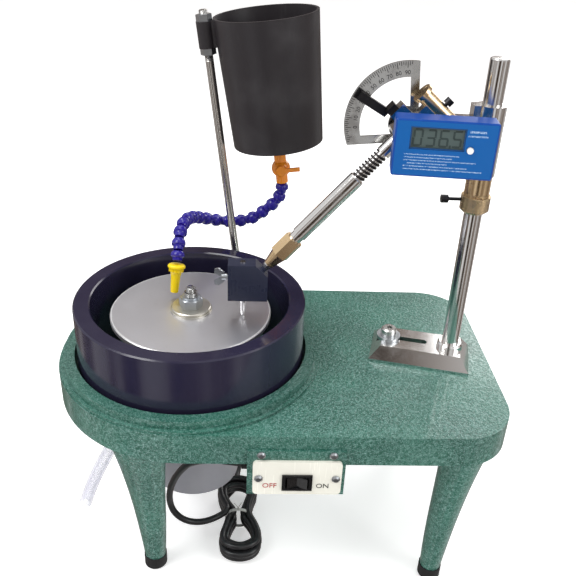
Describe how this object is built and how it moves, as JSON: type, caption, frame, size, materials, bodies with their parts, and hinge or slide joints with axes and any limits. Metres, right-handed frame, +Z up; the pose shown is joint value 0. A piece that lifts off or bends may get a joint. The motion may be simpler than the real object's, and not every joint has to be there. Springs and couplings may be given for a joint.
{
  "type": "faceting machine",
  "caption": "Bench gem faceting machine: cast table on four legs, flat lap in a splash ring, mast with a tilting quill and angle display, water tank on a leaning pole.",
  "frame": {"origin": "on the floor, under the middle of the machine's outline without its cords", "axes": "+X to the mast side, +Y to the back with the water tank, +Z up"},
  "size_m": [0.414, 0.2971, 0.5031],
  "materials": {
    "cast_green": "hammertone",
    "black_plastic": "gloss",
    "tank_plastic": "satin",
    "black_rubber": "matt",
    "steel": "turned",
    "lap_steel": "ground",
    "chrome": "polished",
    "brass": "turned",
    "black_oxide": "oxide",
    "motor_grey": "satin",
    "copper_laminate": "laminated",
    "cream_plastic": "gloss",
    "switch_black": "gloss",
    "display_blue": "satin",
    "lcd": "matt",
    "white_plastic": "gloss",
    "adapter_black": "satin",
    "orange_plastic": "gloss",
    "hose_blue": "gloss",
    "nozzle_yellow": "gloss",
    "clear_hose": "clear",
    "cord_black": "satin"
  },
  "bodies": {
    "frame": {"base_casting": "cast_green", "leg_front_left": "cast_green", "leg_front_right": "cast_green", "leg_rear_left": "cast_green", "leg_rear_right": "cast_green", "frame_bolts": "steel", "rubber_feet": "black_rubber", "splash_ring": "black_plastic", "drain_spout": "steel", "drain_hose": "clear_hose", "motor_housing": "motor_grey", "motor_stator": "copper_laminate", "ball_bearings": "steel", "switch_box": "cast_green", "switch_plate": "cream_plastic", "switch_body": "switch_black", "switch_screws": "steel", "cord_gland": "black_rubber", "power_cord": "cord_black", "cord_hank": "cord_black", "mains_plug": "cord_black", "clamp_bolt": "steel", "clamp_washer": "steel"},
    "lap": {"spindle": "steel", "motor_rotor": "copper_laminate", "lap_flange": "steel", "lap_disc": "lap_steel", "lap_washer": "steel", "lap_nut": "steel"},
    "rocker": {"rocker": "switch_black"},
    "mast_base": {"slotted_base": "chrome", "mast": "chrome"},
    "collar": {"height_collar": "brass"},
    "collar_screw": {"collar_screw": "black_oxide"},
    "head": {"carriage": "chrome", "pivot_shaft": "chrome", "quadrant": "chrome", "display_housing": "display_blue", "display_back": "display_blue", "display_module": "lcd"},
    "display_button": {"display_button": "white_plastic"},
    "quill_carrier": {"quill_block": "chrome", "pointer": "black_oxide", "cross_cylinder": "brass"},
    "cross_screw": {"cross_screw": "black_oxide"},
    "quill_shaft": {"quill_shaft": "chrome", "quill_spring": "chrome"},
    "handpiece": {"quill_tube": "chrome", "collet_nut": "brass", "collet": "steel", "adapter_block": "adapter_black", "adapter_dop": "chrome"},
    "adapter_screw": {"adapter_screw": "steel"},
    "tank": {"tank_pole": "chrome", "pole_nuts": "steel", "tank": "tank_plastic", "valve_body": "orange_plastic"},
    "valve_lever": {"valve_lever": "orange_plastic"},
    "hose": {"hose_segments": "hose_blue"},
    "nozzle": {"nozzle": "nozzle_yellow"}
  },
  "joints": [
    {"name": "lap_spin", "type": "hinge", "parent": "frame", "child": "lap", "pos_m": [-0.083, -0.017, 0.247], "axis": [0, 0, 1], "continuous": true},
    {"name": "rocker_tilt", "type": "hinge", "parent": "frame", "child": "rocker", "pos_m": [0.016, -0.144, 0.154], "axis": [0, 0, 1], "range_deg": [0, 12]},
    {"name": "base_slide", "type": "slide", "parent": "frame", "child": "mast_base", "axis": [0.9703, -0.2419, 0], "range_m": [-0.01, 0.007]},
    {"name": "head_height", "type": "slide", "parent": "mast_base", "child": "collar", "axis": [0, 0, 1], "range_m": [0, 0.025]},
    {"name": "collar_screw_turn", "type": "hinge", "parent": "collar", "child": "collar_screw", "pos_m": [0.15895, -0.022, 0.367], "axis": [-1, 0, 0], "range_deg": [0, 360]},
    {"name": "head_swivel", "type": "hinge", "parent": "collar", "child": "head", "pos_m": [0.167, -0.022, 0.2], "axis": [0, 0, 1], "range_deg": [-14, 14]},
    {"name": "display_button_press", "type": "slide", "parent": "head", "child": "display_button", "axis": [0.1045, 0.9945, 0], "range_m": [0, 0.0015], "stiffness_N_per_m": 300, "springref_m": -0.001},
    {"name": "quill_tilt", "type": "hinge", "parent": "head", "child": "quill_carrier", "pos_m": [0.1, -0.025, 0.429], "axis": [0, 1, 0], "range_deg": [0, 49]},
    {"name": "cross_screw_turn", "type": "hinge", "parent": "quill_carrier", "child": "cross_screw", "pos_m": [0.12375, -0.025, 0.44413], "axis": [0.6561, 0, 0.7547], "range_deg": [0, 360]},
    {"name": "quill_index", "type": "hinge", "parent": "quill_carrier", "child": "quill_shaft", "pos_m": [0.1, -0.025, 0.429], "axis": [-0.6561, 0, -0.7547], "continuous": true},
    {"name": "quill_push", "type": "slide", "parent": "quill_shaft", "child": "handpiece", "axis": [0.6561, 0, 0.7547], "range_m": [0, 0.008], "stiffness_N_per_m": 500, "springref_m": -0.006, "deforming": ["quill_spring"]},
    {"name": "adapter_screw_turn", "type": "hinge", "parent": "handpiece", "child": "adapter_screw", "pos_m": [-0.048, -0.025, 0.287], "axis": [-1, 0, 0], "range_deg": [0, 360]},
    {"name": "tank_swing", "type": "hinge", "parent": "frame", "child": "tank", "pos_m": [-0.0388, 0.098, 0.2], "axis": [-0.1253, 0, 0.9921], "range_deg": [-15, 4]},
    {"name": "valve_turn", "type": "hinge", "parent": "tank", "child": "valve_lever", "pos_m": [0.00045, 0.098, 0.34809], "axis": [0, 1, 0], "range_deg": [0, 90]},
    {"name": "hose_swing", "type": "hinge", "parent": "tank", "child": "hose", "pos_m": [0.00233, 0.098, 0.3332], "axis": [-0.1253, 0, 0.9921], "range_deg": [-8, 1]},
    {"name": "nozzle_tilt", "type": "hinge", "parent": "hose", "child": "nozzle", "pos_m": [-0.0979, 0.0106, 0.2835], "axis": [1, 0, 0], "range_deg": [-6, 6]}
  ]
}
